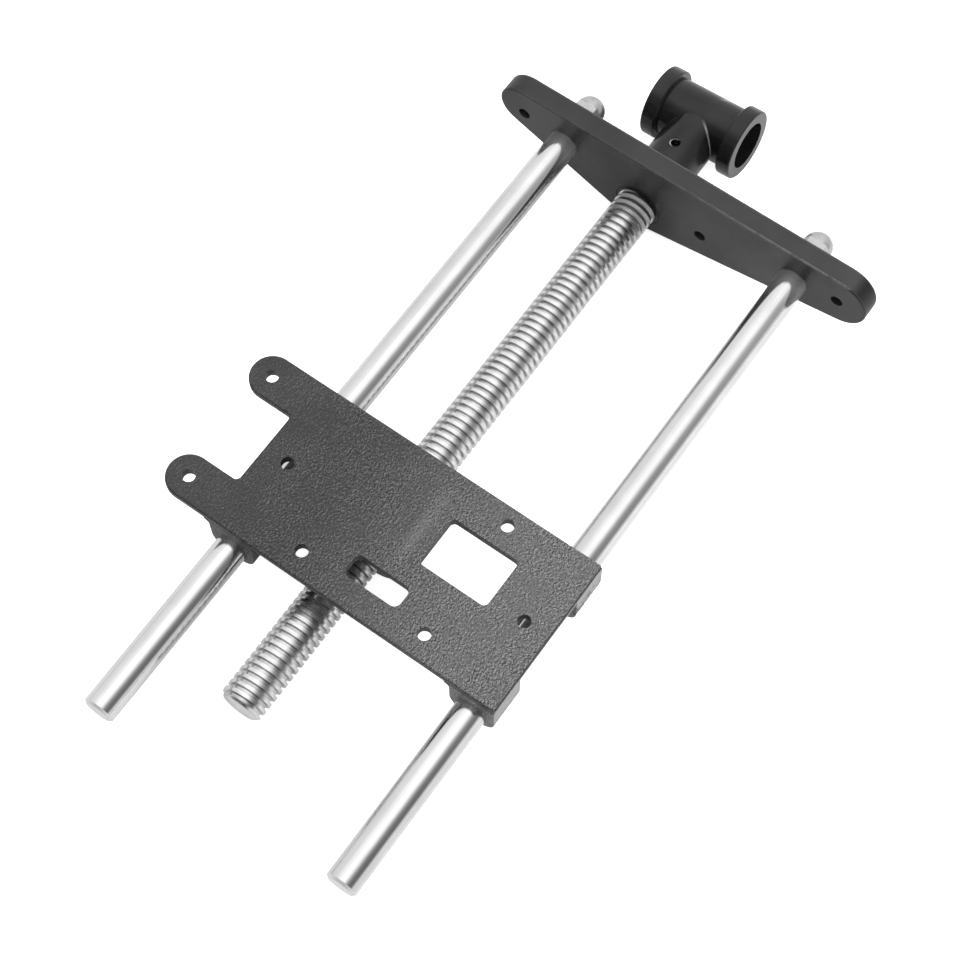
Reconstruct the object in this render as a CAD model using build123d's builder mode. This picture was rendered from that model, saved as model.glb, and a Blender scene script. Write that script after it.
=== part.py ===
from build123d import *
import math
import os

os.makedirs("parts", exist_ok=True)

# Front vise for a workbench, in millimetres.
# The origin is the middle of the rear plate's top face, which is screwed up under the bench.
# +Y runs along the guide rods towards the front plate, and +X away from the ears.

# Guide rods
rod_spacing = 134.5
rod_diameter = 16.0
rod_drop = 19.0
rod_reach = 364.0
rod_chamfer = 1.2
rod_seat_depth = 3.0
rod_fit = 0.08
stud_diameter = 10.0
stud_fit = 0.15
seat_fit = 0.05

# Cap nuts and washers that hold the rods
nut_across_flats = 16.0
nut_hex_height = 8.0
nut_dome_diameter = 15.6
nut_height = 17.0
nut_thread_depth = 12.0
rod_washer_diameter = 18.0
rod_washer_thickness = 1.6

# Rear plate
plate_depth = 84.0
plate_thickness = 5.5
plate_edge_round = 1.0
plate_low_round = 1.8
plate_corner_radius = 1.6
guide_wall = 4.2
guide_length = 20.0
guide_flare = 3.0
ear_radius = 11.0
ear_reach = 19.5
notch_radius = 2.5

# Screw holes and windows of the rear plate
mount_hole_diameter = 6.5
rear_hole_inset = 11.6
front_hole_inset = 8.8
left_hole_offset = 12.9
right_hole_offset = 33.8
oil_hole_diameter = 6.5
oil_hole_offset = 1.3
window_width = 36.8
window_depth = 26.6
window_gap = 7.0
window_shift = 8.7
window_radius = 2.5
slot_width = 30.1
slot_depth = 11.7
slot_offset = 23.2
slot_shift = 22.5
slot_radius = 3.6

# Lead screw, a single-start shallow trapezoidal thread
screw_offset = 21.75
screw_drop = 34.7
screw_reach = 323.0
screw_chamfer = 2.0
thread_diameter = 22.0
thread_pitch = 4.0
thread_depth_share = 0.4
thread_crest_share = 0.44
thread_start = 1.0
flank_angle = 15.0
thread_clearance = 0.3
journal_diameter = 18.0
journal_fit = 0.08
washer_fit = 0.2

# Lead nut, its housing and its set screw
nut_outer_diameter = 32.0
nut_length = 40.0
nut_set_back = 6.0
housing_wall = 4.5
lock_screw_diameter = 6.0
lock_screw_socket = 3.0
lock_screw_bite = 1.5

# Front plate
front_distance = 225.0
front_left_reach = 106.0
front_right_reach = 107.2
front_thickness = 12.0
front_rise = 2.0
front_inner_round = 1.0
front_outer_round = 2.2
front_left_radius = 13.1
front_right_radius = 16.1
front_low_radius = 17.9
front_hole_diameter = 6.5
front_left_inset = 14.6
front_right_inset = 15.8
front_hole_drop = 14.0
middle_hole_offset = 36.4
middle_hole_drop = 28.7

# Thrust washers
outer_washer_diameter = 32.0
outer_washer_thickness = 2.5
inner_washer_diameter = 25.0
inner_washer_thickness = 2.5
recess_margin = 0.3
running_gap = 0.1

# Tee head that takes the handle
head_distance = 48.3
head_length = 53.4
head_angle = 4.5
head_tube_diameter = 31.2
head_collar_diameter = 37.4
head_collar_width = 8.0
head_bore_diameter = 25.0
head_stem_diameter = 28.4
head_rim_round = 1.0
journal_depth = 28.0
pin_diameter = 5.6
pin_bore_diameter = 4.6
pin_distance = 21.7
pin_sink = 0.8
pin_slit = 0.8

# How near an edge or a corner lies to the place it is picked by
pick_margin = 0.01

# Places worked out from the sizes
rod_x = rod_spacing / 2
guide_radius = rod_diameter / 2 + guide_wall
plate_half = rod_x + guide_radius
ear_x = plate_half + ear_reach
ear_y = plate_depth / 2 - ear_radius
screw_x = -screw_offset
screw_rear = front_distance - screw_reach
screw_shoulder = front_distance - running_gap
rod_rear = front_distance - rod_reach
front_outer = front_distance + front_thickness
stud_hole_diameter = stud_diameter + 2 * stud_fit
head_y = front_outer + head_distance
stem_start = front_outer + outer_washer_thickness + running_gap
journal_end = stem_start + journal_depth
housing_front = plate_depth / 2 - nut_set_back
housing_rear = housing_front - nut_length
housing_middle = (housing_front + housing_rear) / 2
housing_radius = nut_outer_diameter / 2 + housing_wall

# Thread form: depth and crest follow the pitch
thread_depth = thread_depth_share * thread_pitch
thread_crest = thread_crest_share * thread_pitch
flank_width = thread_depth * math.tan(math.radians(flank_angle))

# Holes, as (x, y) in the rear plate and (x, drop) in the front plate
window_x = rod_x - guide_radius - window_gap - window_width / 2
right_hole_x = rod_x - right_hole_offset
rear_hole_y = rear_hole_inset - plate_depth / 2
front_hole_y = plate_depth / 2 - front_hole_inset
mount_holes = (
    (-ear_x, -ear_y),
    (-ear_x, ear_y),
    (screw_x - left_hole_offset, rear_hole_y),
    (right_hole_x, rear_hole_y),
    (right_hole_x, front_hole_y),
)
oil_holes = ((oil_hole_offset - rod_x, 0), (rod_x - oil_hole_offset, 0))
front_holes = (
    (front_left_inset - front_left_reach, front_hole_drop),
    (front_right_reach - front_right_inset, front_hole_drop),
    (screw_x + middle_hole_offset, middle_hole_drop),
)

# Planes of the tee head, which is turned a little about the screw's axis
head_turn = math.radians(head_angle)
along_tube = (math.cos(head_turn), 0, math.sin(head_turn))
across_tube = (-math.sin(head_turn), 0, math.cos(head_turn))
head_plane = Plane(origin=(screw_x, head_y, -screw_drop), x_dir=along_tube, z_dir=across_tube)
head_side_plane = Plane(origin=(screw_x, head_y, -screw_drop), x_dir=(0, 1, 0), z_dir=along_tube)
head_axis = Axis((screw_x, head_y, -screw_drop), along_tube)
pin_centre = (screw_x, front_outer + pin_distance, -screw_drop)
pin_plane = Plane(origin=pin_centre, x_dir=along_tube, z_dir=across_tube)


def cross_plane(y):
    """Plane square to the rods at y: its first axis is +X, its second is the drop below the bench."""
    return Plane(origin=(0, y, 0), x_dir=(1, 0, 0), z_dir=(0, 1, 0))


def axis_plane(x, drop, y=0):
    """Plane through an axis that runs along +Y: first coordinate along it, second the radius."""
    return Plane(origin=(x, y, -drop), x_dir=(0, 1, 0), z_dir=(1, 0, 0))


def y_axis(x, drop):
    """Axis along +Y at this place."""
    return Axis((x, 0, -drop), (0, 1, 0))


def add_hanger(start, length, x, drop, radius, flares):
    """Boss under the plate: a web as wide as its round bottom, with a flared root on the given sides."""
    with BuildSketch(cross_plane(start)) as profile:
        with Locations((x, (plate_thickness / 2 + drop) / 2)):
            Rectangle(2 * radius, drop - plate_thickness / 2)
        with Locations((x, drop)):
            Circle(radius)
        for side in flares:
            with Locations((x + side * (radius + guide_flare / 2), plate_thickness + guide_flare / 2)):
                Rectangle(guide_flare, guide_flare)
            with Locations((x + side * (radius + guide_flare), plate_thickness + guide_flare)):
                Circle(guide_flare, mode=Mode.SUBTRACT)
    extrude(profile.sketch, amount=length)


def bore_y(start, length, x, drop, diameter):
    """Cuts a round bore along +Y."""
    with BuildSketch(cross_plane(start)) as profile:
        with Locations((x, drop)):
            Circle(diameter / 2)
    extrude(profile.sketch, amount=length, mode=Mode.SUBTRACT)


def ring_y(start, length, x, drop, outer, inner):
    """Adds a washer along +Y."""
    with BuildSketch(cross_plane(start)) as profile:
        with Locations((x, drop)):
            Circle(outer / 2)
            Circle(inner / 2, mode=Mode.SUBTRACT)
    extrude(profile.sketch, amount=length)


def thread_profile(growth):
    """One turn of the thread's profile, as (radius, place along the axis), enlarged all round by growth."""
    crest_radius = thread_diameter / 2 + growth
    root_radius = crest_radius - thread_depth
    crest_half = thread_crest / 2 + growth
    foot = crest_half + flank_width
    return (
        (crest_radius, -crest_half),
        (crest_radius, crest_half),
        (root_radius, foot),
        (root_radius, thread_pitch - foot),
        (crest_radius, thread_pitch - crest_half),
    )


def threaded_bar(start, length, growth=0.0):
    """Threaded bar on the screw's axis, in step with the lead screw, that runs past both ends of this length.

    Each turn has a strip for each side of the profile, between two helices. A ramp and a wall close each end.
    """
    corners = thread_profile(growth)
    low = corners[0][1]
    helices = [
        Edge.make_helix(thread_pitch, thread_pitch, radius).moved(Location((0, 0, rise)))
        for radius, rise in corners
    ]
    strips = [Face.make_surface_from_curves(first, second) for first, second in zip(helices, helices[1:])]
    middle = Edge.make_line((0, 0, low), (0, 0, low + thread_pitch))
    ramp = Face.make_surface_from_curves(helices[0], middle)
    sides = [Vector(radius, 0, rise) for radius, rise in corners]
    wall = Face(Wire.make_polygon([Vector(0, 0, low), *sides, Vector(0, 0, low + thread_pitch)], close=True))
    skipped = math.floor((start - screw_rear - thread_start) / thread_pitch) - 1
    turns = math.ceil(length / thread_pitch) + 3
    faces = [strip.moved(Location((0, 0, turn * thread_pitch))) for turn in range(turns) for strip in strips]
    for rise in (0, turns * thread_pitch):
        faces += [ramp.moved(Location((0, 0, rise))), wall.moved(Location((0, 0, rise)))]
    bar = Solid(Shell(faces))
    rear = screw_rear + thread_start + skipped * thread_pitch
    place = Plane(origin=(screw_x, rear, -screw_drop), x_dir=(1, 0, 0), z_dir=(0, 1, 0))
    return bar.moved(place.location)


def make_rod(x):
    """Guide rod: chamfered rear end, shoulder seated in the front plate and a stud through it."""
    shoulder = front_distance + rod_seat_depth
    stud_end = front_outer + rod_washer_thickness + nut_thread_depth - running_gap
    with BuildPart() as rod:
        with BuildSketch(axis_plane(x, rod_drop)):
            with BuildLine():
                Polyline(
                    (rod_rear, 0),
                    (rod_rear, rod_diameter / 2 - rod_chamfer),
                    (rod_rear + rod_chamfer, rod_diameter / 2),
                    (shoulder, rod_diameter / 2),
                    (shoulder, stud_diameter / 2),
                    (stud_end, stud_diameter / 2),
                    (stud_end, 0),
                    close=True,
                )
            make_face()
        revolve(axis=y_axis(x, rod_drop))
    return rod


# Rear plate: plate with two ears, two windows, four guide bosses and the nut housing
with BuildPart() as rear_plate:
    with BuildSketch(Plane.XY.offset(-plate_thickness)) as outline:
        Rectangle(2 * plate_half, plate_depth)
        for side in (-1, 1):
            with Locations((-plate_half - ear_reach / 2, side * ear_y)):
                Rectangle(ear_reach, 2 * ear_radius)
            with Locations((-ear_x, side * ear_y)):
                Circle(ear_radius)
        corners = outline.vertices()
        notch = corners.filter_by(lambda corner: abs(corner.X + plate_half) < pick_margin)
        fillet(notch.filter_by(lambda corner: abs(corner.Y) < plate_depth / 2 - pick_margin), notch_radius)
        right = outline.vertices().filter_by(lambda corner: abs(corner.X - plate_half) < pick_margin)
        fillet(right, plate_corner_radius)
    extrude(amount=plate_thickness)
    top = rear_plate.faces().sort_by(Axis.Z)[-1]
    fillet(top.outer_wire().edges(), plate_edge_round)
    low = rear_plate.faces().sort_by(Axis.Z)[0]
    fillet(low.outer_wire().edges(), plate_low_round)
    for start in (-plate_depth / 2, plate_depth / 2 - guide_length):
        add_hanger(start, guide_length, -rod_x, rod_drop, guide_radius, (-1, 1))
        add_hanger(start, guide_length, rod_x, rod_drop, guide_radius, (-1,))
    add_hanger(housing_rear, nut_length, screw_x, screw_drop, housing_radius, (-1, 1))
    for x in (-rod_x, rod_x):
        bore_y(-plate_depth / 2, plate_depth, x, rod_drop, rod_diameter + 2 * rod_fit)
    bore_y(housing_rear, nut_length, screw_x, screw_drop, nut_outer_diameter + 2 * seat_fit)
    with BuildSketch(Plane.XY.offset(-plate_thickness)):
        with Locations((window_x, window_shift)):
            RectangleRounded(window_width, window_depth, window_radius)
        with Locations((screw_x + slot_offset, -slot_shift)):
            RectangleRounded(slot_width, slot_depth, slot_radius)
        with Locations(*mount_holes):
            Circle(mount_hole_diameter / 2)
        with Locations(*oil_holes):
            Circle(oil_hole_diameter / 2)
    extrude(amount=plate_thickness, mode=Mode.SUBTRACT)
    with BuildSketch(Plane.XY.offset(-screw_drop - housing_radius)):
        with Locations((screw_x, housing_middle)):
            Circle(lock_screw_diameter / 2)
    extrude(amount=housing_radius, mode=Mode.SUBTRACT)
rear_plate.part.label = "rear_plate"

# Front plate: three rounded corners joined by straight edges, with the rod seats and the screw's bore
with BuildPart() as front_plate:
    with BuildSketch(cross_plane(front_distance)):
        with Locations((front_left_radius - front_left_reach, front_left_radius - front_rise)):
            Circle(front_left_radius)
        with Locations((front_right_reach - front_right_radius, front_right_radius - front_rise)):
            Circle(front_right_radius)
        with Locations((screw_x, screw_drop)):
            Circle(front_low_radius)
        make_hull()
    extrude(amount=front_thickness)
    fillet(front_plate.faces().sort_by(Axis.Y)[-1].edges(), front_outer_round)
    fillet(front_plate.faces().sort_by(Axis.Y)[0].edges(), front_inner_round)
    for x in (-rod_x, rod_x):
        bore_y(front_distance, rod_seat_depth, x, rod_drop, rod_diameter + 2 * seat_fit)
        bore_y(front_distance, front_thickness, x, rod_drop, stud_hole_diameter)
    recess_diameter = inner_washer_diameter + 2 * recess_margin
    bore_y(front_distance, inner_washer_thickness, screw_x, screw_drop, recess_diameter)
    bore_y(front_distance, front_thickness, screw_x, screw_drop, journal_diameter + 2 * journal_fit)
    for x, drop in front_holes:
        bore_y(front_distance, front_thickness, x, drop, front_hole_diameter)
front_plate.part.label = "front_plate"

# Guide rods
guide_rod_left = make_rod(-rod_x)
guide_rod_left.part.label = "guide_rod_left"
guide_rod_right = make_rod(rod_x)
guide_rod_right.part.label = "guide_rod_right"

# Washers under the cap nuts
with BuildPart() as rod_washers:
    for x in (-rod_x, rod_x):
        ring_y(front_outer, rod_washer_thickness, x, rod_drop, rod_washer_diameter, stud_hole_diameter)
rod_washers.part.label = "rod_washers"

# Cap nuts: hexagon, round dome and a blind bore
with BuildPart() as rod_cap_nuts:
    nut_start = front_outer + rod_washer_thickness
    nut_end = nut_start + nut_height
    dome_radius = nut_dome_diameter / 2
    dome_centre = nut_end - dome_radius
    for x in (-rod_x, rod_x):
        with BuildSketch(cross_plane(nut_start)):
            with Locations((x, rod_drop)):
                RegularPolygon(nut_across_flats / 2, 6, major_radius=False)
        extrude(amount=nut_hex_height)
        with BuildSketch(axis_plane(x, rod_drop)):
            with BuildLine():
                Polyline((dome_centre, dome_radius), (nut_start, dome_radius), (nut_start, 0), (nut_end, 0))
                CenterArc((dome_centre, 0), dome_radius, 0, 90)
            make_face()
        revolve(axis=y_axis(x, rod_drop))
        bore_y(nut_start, nut_thread_depth, x, rod_drop, stud_diameter + 2 * seat_fit)
rod_cap_nuts.part.label = "rod_cap_nuts"

# Lead screw: thread with a chamfered rear end, shoulder and journal with the pin's hole
screw_thread = threaded_bar(screw_rear, screw_reach)
with BuildPart() as lead_screw:
    add(screw_thread, clean=False)
    with BuildSketch(axis_plane(screw_x, screw_drop)):
        with BuildLine():
            Polyline(
                (screw_rear, 0),
                (screw_rear, thread_diameter / 2 - screw_chamfer),
                (screw_rear + 2 * screw_chamfer, thread_diameter / 2 + screw_chamfer),
                (screw_shoulder, thread_diameter / 2 + screw_chamfer),
                (screw_shoulder, 0),
                close=True,
            )
        make_face()
    revolve(axis=y_axis(screw_x, screw_drop), mode=Mode.INTERSECT, clean=False)
    with BuildSketch(cross_plane(screw_shoulder)):
        with Locations((screw_x, screw_drop)):
            Circle(journal_diameter / 2)
    extrude(amount=journal_end - screw_shoulder, clean=False)
    with BuildSketch(pin_plane.offset(-journal_diameter)):
        Circle(pin_diameter / 2 + seat_fit)
    extrude(amount=2 * journal_diameter, mode=Mode.SUBTRACT, clean=False)
lead_screw.part.label = "lead_screw"

# Lead nut: threaded bush with a dimple for the set screw
nut_thread = threaded_bar(housing_rear, nut_length, thread_clearance)
with BuildPart() as lead_nut:
    with BuildSketch(cross_plane(housing_rear)):
        with Locations((screw_x, screw_drop)):
            Circle(nut_outer_diameter / 2)
    extrude(amount=nut_length)
    with BuildSketch(Plane.XY.offset(-screw_drop - nut_outer_diameter / 2)):
        with Locations((screw_x, housing_middle)):
            Circle(lock_screw_diameter / 2)
    extrude(amount=lock_screw_bite, mode=Mode.SUBTRACT)
    add(nut_thread, mode=Mode.SUBTRACT, clean=False)
lead_nut.part.label = "lead_nut"

# Set screw of the nut, with a hexagon socket
with BuildPart() as nut_lock_screw:
    with BuildSketch(Plane.XY.offset(-screw_drop - housing_radius)):
        with Locations((screw_x, housing_middle)):
            Circle(lock_screw_diameter / 2 - seat_fit)
    extrude(amount=housing_wall + lock_screw_bite)
    with BuildSketch(Plane.XY.offset(-screw_drop - housing_radius)):
        with Locations((screw_x, housing_middle)):
            RegularPolygon(lock_screw_socket / 2, 6, major_radius=False)
    extrude(amount=lock_screw_socket, mode=Mode.SUBTRACT)
nut_lock_screw.part.label = "nut_lock_screw"

# Thrust washers on both faces of the front plate
with BuildPart() as thrust_washer_outer:
    ring_y(
        front_outer,
        outer_washer_thickness,
        screw_x,
        screw_drop,
        outer_washer_diameter,
        journal_diameter + 2 * washer_fit,
    )
thrust_washer_outer.part.label = "thrust_washer_outer"

with BuildPart() as thrust_washer_inner:
    ring_y(
        front_distance,
        inner_washer_thickness,
        screw_x,
        screw_drop,
        inner_washer_diameter,
        journal_diameter + 2 * washer_fit,
    )
thrust_washer_inner.part.label = "thrust_washer_inner"

# Tee head: collared tube across a round stem
with BuildPart() as tee_head:
    with BuildSketch(head_plane):
        with BuildLine():
            Polyline(
                (-head_length / 2, head_bore_diameter / 2),
                (-head_length / 2, head_collar_diameter / 2),
                (-head_length / 2 + head_collar_width, head_collar_diameter / 2),
                (-head_length / 2 + head_collar_width, head_tube_diameter / 2),
                (head_length / 2 - head_collar_width, head_tube_diameter / 2),
                (head_length / 2 - head_collar_width, head_collar_diameter / 2),
                (head_length / 2, head_collar_diameter / 2),
                (head_length / 2, head_bore_diameter / 2),
                close=True,
            )
        make_face()
    revolve(axis=head_axis)
    rims = tee_head.edges().filter_by(GeomType.CIRCLE)
    collar_rims = rims.filter_by(lambda rim: abs(rim.radius - head_collar_diameter / 2) < pick_margin)
    fillet(collar_rims, head_rim_round)
    with BuildSketch(cross_plane(stem_start)):
        with Locations((screw_x, screw_drop)):
            Circle(head_stem_diameter / 2)
    extrude(amount=head_y - stem_start)
    with BuildSketch(head_side_plane.offset(-head_length / 2)):
        Circle(head_bore_diameter / 2)
    extrude(amount=head_length, mode=Mode.SUBTRACT)
    bore_y(stem_start, journal_depth, screw_x, screw_drop, journal_diameter + 2 * seat_fit)
    with BuildSketch(pin_plane.offset(-head_stem_diameter)):
        Circle(pin_diameter / 2 + seat_fit)
    extrude(amount=2 * head_stem_diameter, mode=Mode.SUBTRACT)
tee_head.part.label = "tee_head"

# Slotted spring pin through the stem
with BuildPart() as tee_head_pin:
    pin_half = head_stem_diameter / 2 - pin_sink
    with BuildSketch(pin_plane.offset(-pin_half)):
        Circle(pin_diameter / 2)
        Circle(pin_bore_diameter / 2, mode=Mode.SUBTRACT)
        with Locations((pin_diameter / 2, 0)):
            Rectangle(pin_diameter, pin_slit, mode=Mode.SUBTRACT)
    extrude(amount=2 * pin_half)
tee_head_pin.part.label = "tee_head_pin"

pieces = (
    rear_plate,
    front_plate,
    guide_rod_left,
    guide_rod_right,
    rod_washers,
    rod_cap_nuts,
    lead_screw,
    lead_nut,
    nut_lock_screw,
    thrust_washer_outer,
    thrust_washer_inner,
    tee_head,
    tee_head_pin,
)
for piece in pieces:
    export_step(piece.part, f"parts/{piece.part.label}.step")
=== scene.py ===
import math

import bpy
from mathutils import Matrix, Vector


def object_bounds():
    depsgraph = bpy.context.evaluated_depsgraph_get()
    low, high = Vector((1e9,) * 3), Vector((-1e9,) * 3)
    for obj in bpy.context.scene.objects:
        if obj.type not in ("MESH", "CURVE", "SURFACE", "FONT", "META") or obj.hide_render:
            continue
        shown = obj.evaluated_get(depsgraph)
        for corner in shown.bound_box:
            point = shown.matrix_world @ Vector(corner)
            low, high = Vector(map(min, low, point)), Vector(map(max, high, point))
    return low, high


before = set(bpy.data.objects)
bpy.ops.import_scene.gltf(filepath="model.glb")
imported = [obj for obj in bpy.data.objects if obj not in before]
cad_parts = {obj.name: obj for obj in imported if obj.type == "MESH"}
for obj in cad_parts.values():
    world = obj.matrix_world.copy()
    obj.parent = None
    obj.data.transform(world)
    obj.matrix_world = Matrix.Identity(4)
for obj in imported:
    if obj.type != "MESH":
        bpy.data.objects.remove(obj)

cad_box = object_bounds()

scene = bpy.context.scene
scene.view_settings.view_transform = "Standard"

# Places on the vise that the materials refer to, in metres in the shared frame
SCREW_X, SCREW_Z = -0.02175, -0.0347
PIN_Y = 0.2587
PIN_BORE_RADIUS = 0.0024
TEE_Y = 0.2853
TEE_LEAN = math.radians(4.5)
ROD_TIP_Y = -0.1390
SWELLING_X, SWELLING_Y = 0.0024, 0.0090
RIGHT_WALL_X = 0.0789
INNER_FACE_Y = 0.2258
INNER_EDGE_Y, INNER_EDGE_Z = 0.2253, 0.0017
OUTER_EDGE_Y, OUTER_EDGE_Z = 0.2363, 0.0013

# Grey level of painted shade on pebble flanks, under edges and on edge faces, and of the pits
SHADE_AND_PIT_GREY = 0.004


# Node helpers
def new_material(name):
    material = bpy.data.materials.new(name)
    material.use_nodes = True
    tree = material.node_tree
    return material, tree, tree.nodes["Principled BSDF"]


def node(tree, kind, **values):
    made = tree.nodes.new(kind)
    for key, value in values.items():
        setattr(made, key, value)
    return made


def feed(tree, target, value):
    """Links a socket into an input, or sets the input to a number or a colour."""
    if isinstance(value, bpy.types.NodeSocket):
        tree.links.new(value, target)
    else:
        target.default_value = value


def calc(tree, operation, first, second=0.0, third=0.0, clamp=False):
    made = node(tree, "ShaderNodeMath", operation=operation, use_clamp=clamp)
    for index, value in enumerate((first, second, third)):
        feed(tree, made.inputs[index], value)
    return made.outputs[0]


def product(tree, first, *others):
    for value in others:
        first = calc(tree, "MULTIPLY", first, value)
    return first


def largest(tree, first, *others):
    for value in others:
        first = calc(tree, "MAXIMUM", first, value)
    return first


def ramp(tree, value, low, high, start=0.0, end=1.0):
    """Smooth step of a value between low and high, from start to end."""
    made = node(tree, "ShaderNodeMapRange", interpolation_type="SMOOTHSTEP")
    for index, number in enumerate((value, low, high, start, end)):
        feed(tree, made.inputs[index], number)
    return made.outputs[0]


def blend(tree, factor, first, second):
    """Colour that goes from first to second as the factor goes from 0 to 1."""
    made = node(tree, "ShaderNodeMix", data_type="RGBA")
    for index, value in ((0, factor), (6, first), (7, second)):
        feed(tree, made.inputs[index], value)
    return made.outputs[2]


def choose(tree, factor, first, second):
    """Number that goes from first to second as the factor goes from 0 to 1."""
    made = node(tree, "ShaderNodeMix", data_type="FLOAT")
    for index, value in ((0, factor), (2, first), (3, second)):
        feed(tree, made.inputs[index], value)
    return made.outputs[0]


def noise(tree, vector, scale, detail=2.0, roughness=0.5, distortion=0.0):
    made = node(tree, "ShaderNodeTexNoise")
    feed(tree, made.inputs["Vector"], vector)
    feed(tree, made.inputs["Scale"], scale)
    feed(tree, made.inputs["Detail"], detail)
    feed(tree, made.inputs["Roughness"], roughness)
    feed(tree, made.inputs["Distortion"], distortion)
    return made.outputs[0]


def bump(tree, height, distance, strength=1.0, normal=None):
    made = node(tree, "ShaderNodeBump")
    feed(tree, made.inputs["Height"], height)
    feed(tree, made.inputs["Distance"], distance)
    feed(tree, made.inputs["Strength"], strength)
    if normal is not None:
        feed(tree, made.inputs["Normal"], normal)
    return made.outputs[0]


def place(tree):
    """Object coordinates in metres, and their three parts."""
    position = node(tree, "ShaderNodeTexCoord").outputs["Object"]
    parts = node(tree, "ShaderNodeSeparateXYZ")
    tree.links.new(position, parts.inputs[0])
    return position, parts.outputs[0], parts.outputs[1], parts.outputs[2]


def stretch(tree, vector, scale):
    made = node(tree, "ShaderNodeMapping")
    tree.links.new(vector, made.inputs["Vector"])
    made.inputs["Scale"].default_value = scale
    return made.outputs[0]


def shift(tree, vector, step):
    made = node(tree, "ShaderNodeVectorMath", operation="ADD")
    tree.links.new(vector, made.inputs[0])
    made.inputs[1].default_value = step
    return made.outputs[0]


def grey(level):
    return (level, level, level, 1.0)


def cloudy(tree, clouds, dark, light):
    """Grey that wavers between two levels with a noise."""
    return blend(tree, ramp(tree, clouds, 0.35, 0.65), grey(dark), grey(light))


def uneven(tree, clouds, start, end):
    """Number, such as a roughness, that wavers between two values with a noise."""
    return ramp(tree, clouds, 0.30, 0.70, start, end)


def distance_to_line(tree, first, first_at, second, second_at):
    """Distance from a line along one axis, which lies at the given places of the two other axes."""
    one = calc(tree, "SUBTRACT", first, first_at)
    two = calc(tree, "SUBTRACT", second, second_at)
    squares = calc(tree, "ADD", calc(tree, "MULTIPLY", one, one), calc(tree, "MULTIPLY", two, two))
    return calc(tree, "SQRT", squares)


def distance_to_screw(tree, x, z):
    return distance_to_line(tree, x, SCREW_X, z, SCREW_Z)


def distance_from(tree, value, middle):
    return calc(tree, "ABSOLUTE", calc(tree, "SUBTRACT", value, middle))


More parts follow.
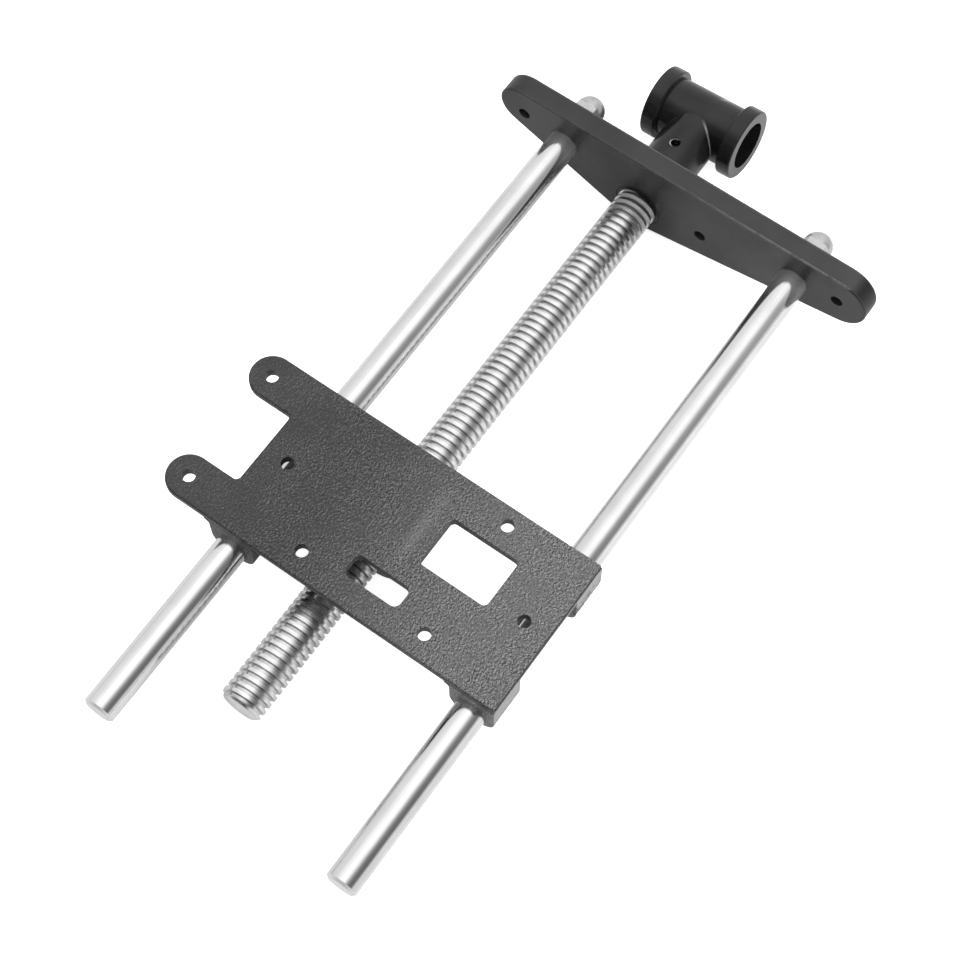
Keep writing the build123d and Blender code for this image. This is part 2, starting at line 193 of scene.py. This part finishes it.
# Pebbled dark enamel of the cast rear plate, with painted light that makes it paler towards its
# right-hand end
def make_cast_enamel():
    material, tree, shader = new_material("cast_enamel")
    position, x, y, z = place(tree)
    pebble_noise = (1000.0, 2.5, 0.60, 0.6)
    patches = noise(tree, position, 38.0, 3.0, 0.55)
    drawn_out = stretch(tree, position, (1.0, 0.85, 1.0))
    pebbles = noise(tree, drawn_out, *pebble_noise)
    lumps = noise(tree, drawn_out, 260.0, 2.0, 0.5, 0.5)
    grains = noise(tree, position, 1900.0, 2.0, 0.6)
    pocks = noise(tree, position, 520.0, 2.0, 0.5)

    # Body, with painted light that makes it paler towards the right-hand end, and a painted highlight as
    # a pale streak on the low swelling beside the large window
    lit_right_side = ramp(tree, x, -0.055, 0.055)
    left_body = cloudy(tree, patches, 0.020, 0.030)
    right_body = cloudy(tree, patches, 0.084, 0.110)
    swell_width = ramp(tree, distance_from(tree, x, SWELLING_X), 0.0003, 0.0050, 1.0, 0.0)
    swell_length = ramp(tree, distance_from(tree, y, SWELLING_Y), 0.013, 0.026, 1.0, 0.0)
    swell = product(tree, swell_width, swell_length)
    body = blend(tree, lit_right_side, left_body, right_body)
    # Painted highlight on the swelling
    body = blend(tree, product(tree, swell, 0.70), body, grey(0.130))

    # Pebbles with painted light and shade: a painted highlight on each crown and one flank and painted
    # shade on the other flank; the left end is smoother
    smooth_end = ramp(tree, x, -0.100, -0.030, 0.45, 1.0)
    calm = product(tree, ramp(tree, patches, 0.38, 0.62, 0.60, 1.0), smooth_end)
    beside = noise(tree, shift(tree, drawn_out, (0.00028, -0.00012, 0.0)), *pebble_noise)
    flanks = calc(tree, "SUBTRACT", pebbles, beside)
    crowns = calc(tree, "MULTIPLY_ADD", pebbles, 0.45, -0.225)
    relief_shading = product(tree, calc(tree, "MULTIPLY_ADD", flanks, 0.75, crowns), calm)
    # Painted highlights on the pebbles, also paler towards the right-hand end
    highlight = blend(tree, lit_right_side, grey(0.150), grey(0.270))
    lit = blend(tree, ramp(tree, relief_shading, 0.0, 0.15), body, highlight)
    pebble_light_and_shade = blend(tree, ramp(tree, relief_shading, -0.15, 0.0, 1.0, 0.0), lit, grey(SHADE_AND_PIT_GREY))

    # Right-hand wall with painted light that makes it pale, a ragged line of painted shade under its top
    # edge, and pits low on its far end
    on_wall = ramp(tree, x, RIGHT_WALL_X - 0.0002, RIGHT_WALL_X + 0.0002)
    with_lit_wall = blend(tree, on_wall, pebble_light_and_shade, grey(0.19))
    # Painted shade under the wall's top edge
    ragged_height = calc(tree, "MULTIPLY_ADD", lumps, 0.0030, z)
    shade_under_edge = product(tree, on_wall, ramp(tree, ragged_height, -0.0010, -0.0003, 0.0, 0.97))
    low_down = ramp(tree, z, -0.0120, -0.0085, 0.95, 0.0)
    far_end = product(tree, ramp(tree, y, 0.010, 0.014), ramp(tree, y, 0.030, 0.044, 1.0, 0.6))
    outermost = ramp(tree, x, 0.0720, 0.0730)
    pits = product(tree, ramp(tree, pocks, 0.49, 0.54), low_down, far_end, outermost)

    # Painted shade on the edge faces of the plate and its windows, apart from that wall
    above_underside = ramp(tree, z, -0.0054, -0.0046)
    below_top = ramp(tree, z, -0.0007, -0.0001, 0.85, 0.0)
    shaded_edge_faces = product(tree, above_underside, below_top)
    off_wall = ramp(tree, on_wall, 0.0, 1.0, 1.0, 0.0)
    shade_and_pits = largest(tree, shade_under_edge, pits, product(tree, shaded_edge_faces, off_wall))

    feed(tree, shader.inputs["Base Color"], blend(tree, shade_and_pits, with_lit_wall, grey(SHADE_AND_PIT_GREY)))
    feed(tree, shader.inputs["Roughness"], uneven(tree, pebbles, 0.50, 0.36))
    coarse = bump(tree, lumps, 0.00100, 0.55, bump(tree, swell, 0.00050))
    middle = bump(tree, pebbles, 0.00130, calm, coarse)
    feed(tree, shader.inputs["Normal"], bump(tree, grains, 0.00006, 0.6, middle))
    return material


# Smooth satin enamel of the front plate, worn to the metal along its two long top edges
def make_satin_enamel():
    material, tree, shader = new_material("satin_enamel")
    position, x, y, z = place(tree)
    patches = noise(tree, position, 30.0, 4.0, 0.6)
    peel = noise(tree, position, 420.0, 2.0, 0.5)
    specks = noise(tree, position, 2200.0, 2.0, 0.6)
    chips = noise(tree, stretch(tree, position, (1.0, 2.5, 2.5)), 240.0, 3.0, 0.65)

    # Body, with painted shade round the screw, a painted shadow of the right-hand rod on the right of the
    # inner face, and painted shade on the right-hand round end
    left_body = cloudy(tree, patches, 0.022, 0.028)
    right_body = cloudy(tree, patches, 0.024, 0.030)
    body = blend(tree, ramp(tree, x, -0.090, 0.040), left_body, right_body)
    inner_face = ramp(tree, y, INNER_FACE_Y - 0.0002, INNER_FACE_Y + 0.0002, 1.0, 0.0)
    off_inner_face = ramp(tree, y, INNER_FACE_Y, INNER_FACE_Y + 0.0004)
    # Painted shade round the screw on the inner face
    by_screw = ramp(tree, distance_to_screw(tree, x, z), 0.0130, 0.0280, 0.85, 0.0)
    screw_shade = product(tree, by_screw, inner_face)
    # Painted shadow of the right-hand rod on the inner face
    rod_shadow = product(tree, ramp(tree, x, 0.055, 0.085, 0.0, 0.60), inner_face)
    # Painted shade on the right-hand round end
    shaded_round_end = product(tree, ramp(tree, x, 0.095, 0.101, 0.0, 0.9), off_inner_face)
    body = blend(tree, largest(tree, shaded_round_end, screw_shade, rod_shadow), body, grey(0.003))

    # Wear lines along the two long top edges, broken up by chips
    from_inner_edge = distance_to_line(tree, y, INNER_EDGE_Y, z, INNER_EDGE_Z)
    from_outer_edge = distance_to_line(tree, y, OUTER_EDGE_Y, z, OUTER_EDGE_Z)
    towards_right = ramp(tree, x, -0.030, 0.050, 0.25, 1.0)
    inner_line = ramp(tree, from_inner_edge, 0.0003, 0.0010, 0.28, 0.0)
    inner_line = product(tree, inner_line, towards_right)
    outer_line = ramp(tree, from_outer_edge, 0.0004, 0.0014, 0.12, 0.0)
    chipped = ramp(tree, chips, 0.34, 0.56, 0.45, 1.0)
    wear = calc(tree, "MULTIPLY", largest(tree, inner_line, outer_line), chipped, clamp=True)

    feed(tree, shader.inputs["Base Color"], blend(tree, wear, body, grey(0.33)))
    feed(tree, shader.inputs["Metallic"], product(tree, wear, 0.6))
    shader.inputs["Specular IOR Level"].default_value = 0.32
    feed(tree, shader.inputs["Roughness"], uneven(tree, patches, 0.42, 0.32))
    orange_peel = bump(tree, peel, 0.00012, 0.5)
    feed(tree, shader.inputs["Normal"], bump(tree, specks, 0.00006, 0.5, orange_peel))
    return material


# Glossy black enamel of the tee head, with a painted highlight along the crease between its stem and its
# tube
def make_gloss_enamel():
    material, tree, shader = new_material("gloss_enamel")
    position, x, y, z = place(tree)
    patches = noise(tree, position, 55.0, 3.0, 0.55)
    sags = noise(tree, position, 120.0, 1.5, 0.45, 0.4)
    specks = noise(tree, position, 1500.0, 2.0, 0.6)

    # Height above the tube's axis, which leans and crosses the screw's
    sine, cosine = math.sin(TEE_LEAN), math.cos(TEE_LEAN)
    sideways = calc(tree, "MULTIPLY_ADD", x, -sine, SCREW_X * sine)
    upright = calc(tree, "MULTIPLY_ADD", z, cosine, -SCREW_Z * cosine)
    height = calc(tree, "ADD", upright, sideways)
    near_tube = ramp(tree, distance_to_line(tree, y, TEE_Y, height, 0.0), 0.0157, 0.0164, 1.0, 0.0)
    near_stem = ramp(tree, distance_to_screw(tree, x, z), 0.0143, 0.0148, 1.0, 0.0)
    right_half = ramp(tree, x, -0.020, -0.012)
    broken = ramp(tree, patches, 0.36, 0.55, 0.5, 1.0)
    # Painted highlight along the crease where the stem meets the tube
    crease_highlight = product(tree, near_stem, near_tube, right_half, broken)

    body = cloudy(tree, patches, 0.006, 0.012)
    feed(tree, shader.inputs["Base Color"], blend(tree, crease_highlight, body, grey(0.30)))
    shader.inputs["Specular IOR Level"].default_value = 0.36
    feed(tree, shader.inputs["Roughness"], uneven(tree, patches, 0.24, 0.16))
    sagged = bump(tree, sags, 0.00022, 0.45)
    feed(tree, shader.inputs["Normal"], bump(tree, specks, 0.00001, 0.4, sagged))
    return material


# Ground bright steel of the guide rods, duller on the cut ends, with painted light by the front plate:
# less metallic there, so the plate's dark reflection looks lighter
def make_ground_steel():
    material, tree, shader = new_material("ground_steel")
    position, _, y, _ = place(tree)
    rings = noise(tree, stretch(tree, position, (0.25, 9.0, 0.25)), 500.0, 3.0, 0.7)
    strokes = noise(tree, stretch(tree, position, (1.0, 0.04, 1.0)), 900.0, 3.0, 0.6)
    haze = noise(tree, position, 35.0, 3.0, 0.6)
    tint = cloudy(tree, haze, 0.70, 0.76)
    brushed = blend(tree, ramp(tree, strokes, 0.50, 0.72, 0.0, 0.25), tint, grey(0.60))
    cut = ramp(tree, y, ROD_TIP_Y + 0.0010, ROD_TIP_Y + 0.0014, 1.0, 0.0)
    # Painted light: less metallic by the front plate
    lit_by_plate = ramp(tree, y, 0.1980, 0.2200, 0.0, 0.32)
    less_metallic = largest(tree, cut, lit_by_plate)
    ground = uneven(tree, rings, 0.10, 0.17)

    feed(tree, shader.inputs["Base Color"], blend(tree, cut, brushed, grey(0.72)))
    feed(tree, shader.inputs["Metallic"], ramp(tree, less_metallic, 0.0, 1.0, 1.0, 0.5))
    feed(tree, shader.inputs["Roughness"], largest(tree, ground, product(tree, cut, 0.42)))
    feed(tree, shader.inputs["Normal"], bump(tree, rings, 0.000006, 0.5))
    return material


# Rolled steel of the lead screw, darker down in the thread, with painted shade in the stretch under the
# rear plate's slot and painted light on its last turns by the front plate, where crests are painted
# bright and grooves dark
def make_thread_steel():
    material, tree, shader = new_material("thread_steel")
    position, x, y, z = place(tree)
    haze = noise(tree, position, 160.0, 3.0, 0.6)
    streaks = noise(tree, stretch(tree, position, (0.5, 6.0, 0.5)), 700.0, 3.0, 0.65)
    in_groove = ramp(tree, distance_to_screw(tree, x, z), 0.0095, 0.0108, 1.0, 0.0)
    soil = product(tree, in_groove, uneven(tree, haze, 0.25, 0.75))
    soiled = blend(tree, soil, cloudy(tree, streaks, 0.66, 0.82), grey(0.42))
    # Painted light on the last turns: bright crests, dark grooves and less metal
    lit_last_turns = ramp(tree, y, 0.2060, 0.2200)
    lit_crests_dark_grooves = blend(tree, ramp(tree, in_groove, 0.0, 1.0), grey(0.88), grey(0.10))
    soiled_and_lit = blend(tree, lit_last_turns, soiled, lit_crests_dark_grooves)
    # Painted shade on the stretch of screw under the rear plate's slot
    screw_shade = product(tree, ramp(tree, y, -0.0380, -0.0320), ramp(tree, y, -0.0060, 0.0, 0.40, 0.0))

    feed(tree, shader.inputs["Base Color"], blend(tree, screw_shade, soiled_and_lit, grey(0.05)))
    feed(tree, shader.inputs["Metallic"], ramp(tree, lit_last_turns, 0.0, 1.0, 1.0, 0.7))
    feed(tree, shader.inputs["Roughness"], uneven(tree, haze, 0.18, 0.27))
    feed(tree, shader.inputs["Normal"], bump(tree, streaks, 0.00002, 0.6))
    return material


# Zinc plate of the cap nuts, their washers and the pin, with painted shade inside the pin's bore
def make_zinc():
    material, tree, shader = new_material("zinc_plate")
    position, x, y, _ = place(tree)
    clouds = noise(tree, position, 220.0, 3.0, 0.6)
    specks = noise(tree, position, 1800.0, 2.0, 0.6)
    from_pin = distance_to_line(tree, x, SCREW_X, y, PIN_Y)
    # Painted shade inside the pin's bore
    shaded_bore = ramp(tree, from_pin, PIN_BORE_RADIUS - 0.00005, PIN_BORE_RADIUS + 0.00005, 1.0, 0.0)
    plate = cloudy(tree, clouds, 0.47, 0.56)

    feed(tree, shader.inputs["Base Color"], blend(tree, shaded_bore, plate, grey(0.01)))
    shader.inputs["Metallic"].default_value = 1.0
    feed(tree, shader.inputs["Roughness"], uneven(tree, clouds, 0.24, 0.38))
    feed(tree, shader.inputs["Normal"], bump(tree, specks, 0.00001, 0.5))
    return material


# Blackened steel of the thrust washers and the set screw
def make_black_oxide():
    material, tree, shader = new_material("black_oxide")
    clouds = noise(tree, place(tree)[0], 260.0, 3.0, 0.6)

    feed(tree, shader.inputs["Base Color"], cloudy(tree, clouds, 0.02, 0.05))
    shader.inputs["Metallic"].default_value = 0.6
    feed(tree, shader.inputs["Roughness"], uneven(tree, clouds, 0.42, 0.56))
    feed(tree, shader.inputs["Normal"], bump(tree, clouds, 0.00002, 0.5))
    return material


# Turned bronze of the lead nut, with the turning marks round the screw's axis
def make_bronze():
    material, tree, shader = new_material("turned_bronze")
    position, x, _, z = place(tree)
    clouds = noise(tree, position, 150.0, 3.0, 0.6)
    dark, light = (0.50, 0.34, 0.15, 1.0), (0.66, 0.48, 0.24, 1.0)
    bronze = blend(tree, ramp(tree, clouds, 0.35, 0.65), dark, light)
    marks_per_metre = 26000.0
    turning = calc(tree, "SINE", product(tree, distance_to_screw(tree, x, z), marks_per_metre))

    feed(tree, shader.inputs["Base Color"], bronze)
    shader.inputs["Metallic"].default_value = 1.0
    feed(tree, shader.inputs["Roughness"], uneven(tree, clouds, 0.26, 0.40))
    feed(tree, shader.inputs["Normal"], bump(tree, turning, 0.00001, 0.5))
    return material


# Which pieces each finish goes on
pieces_of = {
    make_cast_enamel: ("rear_plate",),
    make_satin_enamel: ("front_plate",),
    make_gloss_enamel: ("tee_head",),
    make_ground_steel: ("guide_rod_left", "guide_rod_right"),
    make_thread_steel: ("lead_screw",),
    make_zinc: ("rod_washers", "rod_cap_nuts", "tee_head_pin"),
    make_black_oxide: ("nut_lock_screw", "thrust_washer_outer", "thrust_washer_inner"),
    make_bronze: ("lead_nut",),
}
for make_finish, names in pieces_of.items():
    finish = make_finish()
    for name in names:
        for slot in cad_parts[name].material_slots:
            slot.material = finish


# Light table under the vise: white for the camera, greyer where the metal mirrors it
TABLE_REACH = 12.0
TABLE_GAP = 0.0002
TABLE_GLOW, SEEN_TABLE_GLOW = 0.22, 0.80
floor_level = cad_box[0][2] - TABLE_GAP
sides = ((-1, -1), (1, -1), (1, 1), (-1, 1))
corners = [(side_x * TABLE_REACH, side_y * TABLE_REACH, floor_level) for side_x, side_y in sides]
table = bpy.data.meshes.new("table")
table.from_pydata(corners, [], [(0, 1, 2, 3)])
table_object = bpy.data.objects.new("table", table)
scene.collection.objects.link(table_object)
paper, tree, shader = new_material("white_table")
position, table_x, _, _ = place(tree)
path = node(tree, "ShaderNodeLightPath")
matt = blend(tree, noise(tree, position, 6.0, 3.0, 0.5), grey(0.80), grey(0.82))
mirrored = blend(tree, ramp(tree, table_x, 0.08, 0.16), grey(0.58), grey(0.40))
feed(tree, shader.inputs["Base Color"], blend(tree, path.outputs["Is Glossy Ray"], matt, mirrored))
shader.inputs["Roughness"].default_value = 0.9
shader.inputs["Specular IOR Level"].default_value = 0.0
shader.inputs["Emission Color"].default_value = grey(1.0)
glow = choose(tree, path.outputs["Is Camera Ray"], TABLE_GLOW, SEEN_TABLE_GLOW)
feed(tree, shader.inputs["Emission Strength"], glow)
table.materials.append(paper)

# Brightness round the studio, by the angle in degrees from straight up towards +X
STRIP = (
    (-180, 1.00), (-110, 0.80), (-90, 0.80), (-78, 0.88), (-67, 0.92), (-49, 0.97),
    (-40, 1.06), (-33, 1.18), (-24, 1.32), (-16, 1.40), (-9, 1.45), (7, 1.45),
    (14, 1.32), (22, 1.00), (30, 0.62), (37, 0.37), (45.5, 0.25), (54, 0.19),
    (62, 0.17), (70, 0.21), (76, 0.40), (80, 0.65), (86, 1.00), (180, 1.00),
)
# Degrees by which the whole strip is turned towards +X
STRIP_TURN = 2.5
BRIGHTEST = 1.45
# What the camera sees behind the vise
SEEN_BACKGROUND = 0.96

# Studio surroundings: a bright strip overhead, a pale wall towards -X and a dark one towards +X
world = bpy.data.worlds.new("studio")
scene.world = world
world.use_nodes = True
tree = world.node_tree
parts = node(tree, "ShaderNodeSeparateXYZ")
feed(tree, parts.inputs[0], node(tree, "ShaderNodeTexCoord").outputs["Generated"])
tilt = calc(tree, "ARCTAN2", parts.outputs[0], parts.outputs[2])
strip = node(tree, "ShaderNodeValToRGB")
elements = strip.color_ramp.elements
while len(elements) < len(STRIP):
    elements.new(0.5)
for element, (degrees, level) in zip(elements, STRIP):
    element.position = degrees / 360 + 0.5
    element.color = grey(level / BRIGHTEST)
share_of_turn = calc(tree, "MULTIPLY_ADD", tilt, 1 / (2 * math.pi), 0.5 - STRIP_TURN / 360)
feed(tree, strip.inputs[0], share_of_turn)
bands = product(tree, strip.outputs[0], BRIGHTEST)

# Towards +Y the surroundings fade to white, and towards -Y they darken
far = ramp(tree, parts.outputs[1], 0.15, 0.85, 0.0, 0.8)
near = ramp(tree, parts.outputs[1], -0.62, -0.12, 0.22, 1.0)
bands = calc(tree, "ADD", bands, product(tree, far, calc(tree, "SUBTRACT", 1.0, bands)))
bands = product(tree, bands, near)
seen = node(tree, "ShaderNodeLightPath").outputs["Is Camera Ray"]
background = tree.nodes["Background"]
feed(tree, background.inputs["Strength"], choose(tree, seen, bands, SEEN_BACKGROUND))
background.inputs["Color"].default_value = grey(1.0)


def add_soft_light(name, width, energy, location, target):
    """Square area light aimed at a point, which the metal doesn't mirror."""
    light = bpy.data.lights.new(name, "AREA")
    light.shape = "RECTANGLE"
    light.size = width
    light.size_y = width
    light.energy = energy
    light_object = bpy.data.objects.new(name, light)
    light_object.location = location
    aim = Vector(target) - light_object.location
    light_object.rotation_euler = aim.to_track_quat("-Z", "Y").to_euler()
    light_object.visible_glossy = False
    scene.collection.objects.link(light_object)


# A soft key light overhead, and a soft box low on the right, which brings out the pebbled enamel
add_soft_light("key", width=1.6, energy=14.0, location=(-0.5, -0.2, 1.8), target=(0.0, 0.08, 0.0))
add_soft_light("side", width=0.35, energy=5.0, location=(0.52, 0.28, 0.28), target=(0.0, 0.0, 0.0))

# Camera at the photograph's viewing angle, in radians and metres
YAW, PITCH, ROLL = 0.6158095, 1.1551842, 0.0042717
CAMERA_PLACE = (0.23945, -0.27958, 0.89889)
back = Vector((math.sin(YAW) * math.cos(PITCH), -math.cos(YAW) * math.cos(PITCH), math.sin(PITCH)))
right = Vector((0, 0, 1)).cross(back).normalized()
up = back.cross(right)
rolled_right = math.cos(ROLL) * right + math.sin(ROLL) * up
rolled_up = -math.sin(ROLL) * right + math.cos(ROLL) * up
camera = bpy.data.cameras.new("camera")
camera.sensor_width = 36.0
camera.lens = 81.006
camera.clip_start = 0.01
camera.clip_end = 100.0
camera_object = bpy.data.objects.new("camera", camera)
turn = Matrix((rolled_right, rolled_up, back)).transposed().to_4x4()
camera_object.matrix_world = Matrix.Translation(CAMERA_PLACE) @ turn
scene.collection.objects.link(camera_object)
scene.camera = camera_object

bpy.context.view_layer.update()
